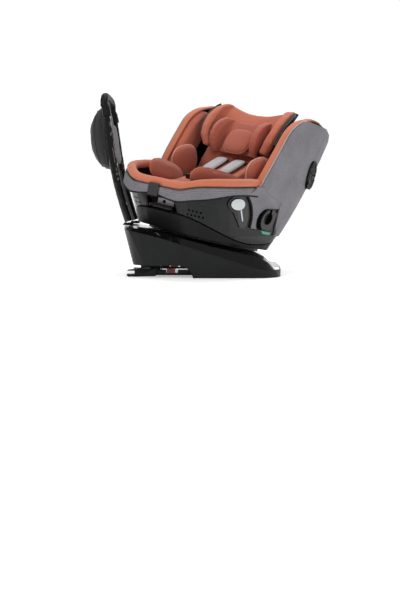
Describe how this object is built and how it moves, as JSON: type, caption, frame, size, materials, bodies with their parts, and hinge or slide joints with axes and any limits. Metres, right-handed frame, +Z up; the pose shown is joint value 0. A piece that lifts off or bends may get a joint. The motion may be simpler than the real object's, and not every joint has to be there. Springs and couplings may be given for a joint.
{
  "type": "convertible car seat",
  "caption": "Swivelling, reclining child car seat on a base with rigid anchor arms, rebound bar and tether pouch, padded infant insert, headrest and harness.",
  "frame": {"origin": "flat underside of the base, below the swivel axis's crossing with the turntable", "axes": "+Z up, -X towards the vehicle's backrest and its anchors, +X towards the vehicle's front, Y across the base"},
  "size_m": [0.8696, 0.7166, 0.6419],
  "materials": {
    "orange_fabric": "woven terracotta cover",
    "grey_fabric": "heather grey woven cover",
    "pale_fabric": "light grey brushed pad",
    "black_webbing": "black nylon",
    "steel": "zinc-plated",
    "gloss_black": "polished black",
    "silver_plastic": "silver-grey",
    "green_plastic": "green belt-path marker",
    "red_plastic": "dark red",
    "black_plastic": "fine-grained black"
  },
  "bodies": {
    "base": {"base_housing": "black_plastic", "base_deck": "gloss_black", "bearing_ring": "steel", "rebound_socket_near": "gloss_black", "rebound_socket_far": "gloss_black", "rebound_bar": "gloss_black", "rebound_bar_cover": "black_plastic", "tether_pouch": "black_webbing", "pouch_front_panel": "black_webbing"},
    "anchors": {"anchor_arm_near": "black_plastic", "anchor_arm_far": "black_plastic", "anchor_crossbar": "steel"},
    "anchor_latch_near": {"anchor_latch_near": "steel"},
    "anchor_latch_far": {"anchor_latch_far": "steel"},
    "anchor_release_near": {"anchor_release_near": "red_plastic"},
    "anchor_release_far": {"anchor_release_far": "red_plastic"},
    "swivel": {"swivel_plate": "black_plastic", "recline_cradle": "black_plastic"},
    "seat": {"lower_shell": "black_plastic", "back_shell": "black_plastic", "rim_bolster": "orange_fabric", "rim_skirt": "grey_fabric", "side_panel_near": "grey_fabric", "side_panel_far": "grey_fabric", "wing_pad_near": "orange_fabric", "wing_pad_far": "orange_fabric", "inner_shell": "black_plastic", "back_cushion": "orange_fabric", "seat_cushion": "orange_fabric", "body_insert": "orange_fabric", "insert_bolster_near": "orange_fabric", "insert_bolster_far": "orange_fabric", "leg_flap_near": "orange_fabric", "leg_flap_far": "orange_fabric", "harness_strap_near": "black_webbing", "harness_strap_far": "black_webbing", "harness_pad_near": "pale_fabric", "harness_pad_far": "pale_fabric", "buckle_body": "black_plastic", "belt_guide_near": "black_plastic", "belt_guide_far": "black_plastic", "guide_strip_near": "green_plastic", "guide_strip_far": "green_plastic", "release_panel_near": "gloss_black", "release_panel_far": "gloss_black", "handle_housing": "black_plastic", "label_plate": "silver_plastic", "adjuster_cover": "black_webbing"},
    "recline_handle": {"recline_handle": "black_plastic"},
    "swivel_release_near": {"swivel_release_near": "silver_plastic"},
    "swivel_release_far": {"swivel_release_far": "silver_plastic"},
    "impact_pod_near": {"impact_pod_near": "black_plastic"},
    "impact_pod_far": {"impact_pod_far": "black_plastic"},
    "adjuster_button": {"adjuster_button": "silver_plastic"},
    "buckle_button": {"buckle_button": "red_plastic"},
    "headrest": {"headrest_shell": "black_plastic", "headrest_pad": "orange_fabric", "head_insert": "orange_fabric", "head_pillow": "orange_fabric"},
    "headrest_lever": {"headrest_lever": "black_plastic"}
  },
  "joints": [
    {"name": "seat_swivel", "type": "hinge", "parent": "base", "child": "swivel", "pos_m": [0, 0, 0.104], "axis": [0.225, 0, 0.9744], "continuous": true},
    {"name": "seat_recline", "type": "hinge", "parent": "swivel", "child": "seat", "pos_m": [0.12271, -0.01554, 0.69145], "axis": [0.7572, -0.6293, -0.1748], "range_deg": [0, 12]},
    {"name": "headrest_height", "type": "slide", "parent": "seat", "child": "headrest", "axis": [0.4383, 0.2911, 0.8504], "range_m": [0, 0.12]},
    {"name": "headrest_lever_squeeze", "type": "slide", "parent": "headrest", "child": "headrest_lever", "axis": [0.4383, 0.2911, 0.8504], "range_m": [0, 0.006], "stiffness_N_per_m": 900},
    {"name": "recline_handle_pull", "type": "slide", "parent": "seat", "child": "recline_handle", "axis": [-0.6132, -0.7771, 0.1416], "range_m": [0, 0.01], "stiffness_N_per_m": 700},
    {"name": "anchor_extend", "type": "slide", "parent": "base", "child": "anchors", "axis": [-1, 0, 0], "range_m": [0, 0.11]},
    {"name": "adjuster_press", "type": "slide", "parent": "seat", "child": "adjuster_button", "axis": [-0.225, 0, -0.9744], "range_m": [0, 0.003], "stiffness_N_per_m": 700},
    {"name": "buckle_press", "type": "slide", "parent": "seat", "child": "buckle_button", "axis": [0.0636, 0.3374, -0.9392], "range_m": [0, 0.0022], "stiffness_N_per_m": 700},
    {"name": "anchor_latch_near_turn", "type": "hinge", "parent": "anchors", "child": "anchor_latch_near", "pos_m": [-0.214, -0.14, 0.014], "axis": [0, 1, 0], "range_deg": [0, 25], "stiffness_Nm_per_rad": 0.2},
    {"name": "anchor_release_near_press", "type": "slide", "parent": "anchors", "child": "anchor_release_near", "axis": [1, 0, 0], "range_m": [0, 0.008], "stiffness_N_per_m": 500},
    {"name": "swivel_release_near_press", "type": "slide", "parent": "seat", "child": "swivel_release_near", "axis": [-0.7572, 0.6293, 0.1748], "range_m": [0, 0.0032], "stiffness_N_per_m": 700},
    {"name": "impact_pod_near_out", "type": "slide", "parent": "seat", "child": "impact_pod_near", "axis": [0.7572, -0.6293, -0.1748], "range_m": [0, 0.025]},
    {"name": "anchor_latch_far_turn", "type": "hinge", "parent": "anchors", "child": "anchor_latch_far", "pos_m": [-0.214, 0.14, 0.014], "axis": [0, 1, 0], "range_deg": [0, 25], "stiffness_Nm_per_rad": 0.2},
    {"name": "anchor_release_far_press", "type": "slide", "parent": "anchors", "child": "anchor_release_far", "axis": [1, 0, 0], "range_m": [0, 0.008], "stiffness_N_per_m": 500},
    {"name": "swivel_release_far_press", "type": "slide", "parent": "seat", "child": "swivel_release_far", "axis": [0.7572, -0.6293, -0.1748], "range_m": [0, 0.0032], "stiffness_N_per_m": 700},
    {"name": "impact_pod_far_out", "type": "slide", "parent": "seat", "child": "impact_pod_far", "axis": [-0.7572, 0.6293, 0.1748], "range_m": [0, 0.025]}
  ]
}
